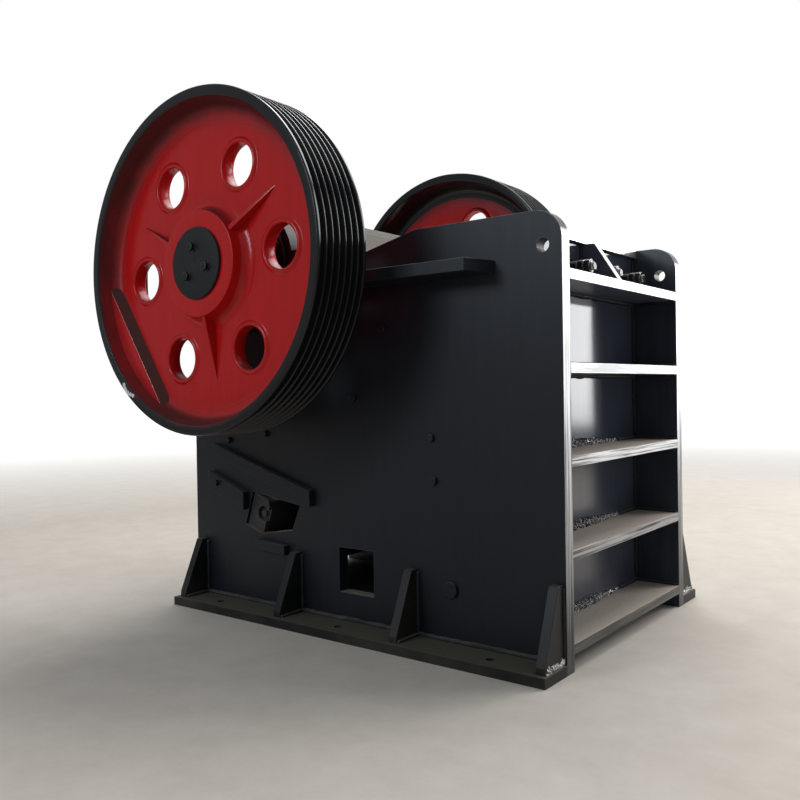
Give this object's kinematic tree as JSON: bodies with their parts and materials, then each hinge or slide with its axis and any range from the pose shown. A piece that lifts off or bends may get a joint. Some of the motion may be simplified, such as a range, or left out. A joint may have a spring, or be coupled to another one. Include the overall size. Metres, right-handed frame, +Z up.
{
  "type": "single toggle jaw crusher",
  "caption": "Jaw crusher: welded plate frame with ribbed front wall and foot flanges, heavy grooved belt wheels on an eccentric shaft, toothed jaws inside.",
  "frame": {"origin": "on the floor under the centre of the machine's bounding box", "axes": "+X towards the ribbed front wall, +Y along the shaft from the near belt wheel to the far wheel, +Z up"},
  "size_m": [2.29, 2.204, 2.366],
  "materials": {
    "frame_paint": "gloss",
    "wheel_paint": "semi gloss",
    "cap_paint": "satin",
    "swing_paint": "satin",
    "guard_paint": "dusty",
    "jaw_steel": "as cast",
    "bare_steel": "machined"
  },
  "bodies": {
    "frame": {"side_plate_left": "frame_paint", "side_plate_right": "frame_paint", "front_wall": "frame_paint", "front_rib_1": "frame_paint", "front_rib_2": "frame_paint", "front_rib_3": "frame_paint", "front_rib_4": "frame_paint", "front_rib_5": "frame_paint", "wall_top_bar": "frame_paint", "top_gusset": "frame_paint", "jaw_bolts": "bare_steel", "foot_left": "frame_paint", "foot_right": "frame_paint", "foot_gussets_left": "frame_paint", "foot_gussets_right": "frame_paint", "ledge_left": "frame_paint", "ledge_right": "frame_paint", "side_fittings_left": "frame_paint", "side_fittings_right": "frame_paint", "bearing_base_left": "frame_paint", "bearing_base_right": "frame_paint", "bearing_cap_left": "frame_paint", "bearing_cap_right": "frame_paint", "cover_left": "frame_paint", "cover_right": "frame_paint", "toggle_beam": "frame_paint", "rear_wall": "frame_paint", "fixed_jaw": "jaw_steel", "cheek_left": "jaw_steel", "cheek_right": "jaw_steel", "swing_jaw": "swing_paint", "swing_plate": "jaw_steel", "jaw_wedge": "jaw_steel", "guard_plate": "guard_paint", "toggle_plate": "jaw_steel", "toggle_seat": "jaw_steel", "tension_rod": "bare_steel", "tension_spring": "bare_steel", "rod_washer": "bare_steel"},
    "rotor": {"eccentric_shaft": "bare_steel", "belt_wheel": "wheel_paint", "fly_wheel": "wheel_paint", "shaft_cap_left": "cap_paint", "shaft_cap_right": "cap_paint"}
  },
  "joints": [
    {"name": "shaft_spin", "type": "hinge", "parent": "frame", "child": "rotor", "pos_m": [-0.36, 0, 1.621], "axis": [0, 1, 0], "continuous": true}
  ]
}
